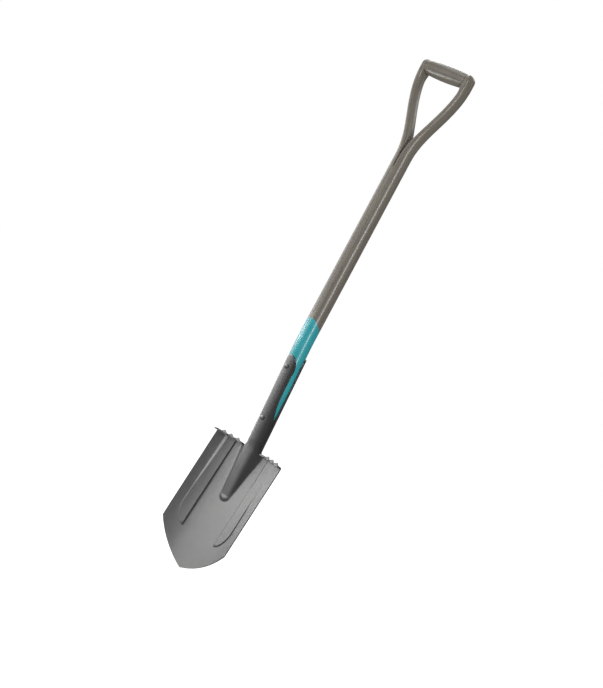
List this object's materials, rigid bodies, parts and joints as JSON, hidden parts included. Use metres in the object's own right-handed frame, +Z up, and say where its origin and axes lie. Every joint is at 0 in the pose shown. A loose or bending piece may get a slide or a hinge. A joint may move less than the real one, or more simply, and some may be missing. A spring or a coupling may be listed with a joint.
{
  "type": "garden spade",
  "caption": "Garden spade: pointed, ribbed pressed-steel blade with toothed foot treads, straps riveted to an ash shaft that splits into a wooden D-grip.",
  "frame": {"origin": "level with the blade's tip, in the middle of the spade's width, and 8.5 mm behind the upper shaft's axis, which is near the middle of the depth", "axes": "+Z up along the upper shaft, from the blade's tip to the D-grip; X across the blade; the blade's hollow face and the treads look towards -Y"},
  "size_m": [0.19, 0.0663, 1.17],
  "materials": {
    "coated_steel": "semi-matte charcoal powder coat over pressed steel",
    "ash_wood": "grey-brown stained ash, satin lacquer; the lower shaft is painted turquoise",
    "grip_wood": "grey-brown stained ash, satin lacquer",
    "rivet_steel": "charcoal coat worn thin over the domed heads",
    "dowel_wood": "raw beech, hidden inside the grip"
  },
  "bodies": {
    "root": {"blade": "coated_steel", "rear_strap": "coated_steel", "seam_welds": "coated_steel", "lip_weld": "coated_steel", "shaft": "ash_wood", "crosspiece": "grip_wood", "socket_rivet_upper": "rivet_steel", "socket_rivet_lower": "rivet_steel", "grip_dowel_left": "dowel_wood", "grip_dowel_right": "dowel_wood"}
  },
  "joints": []
}
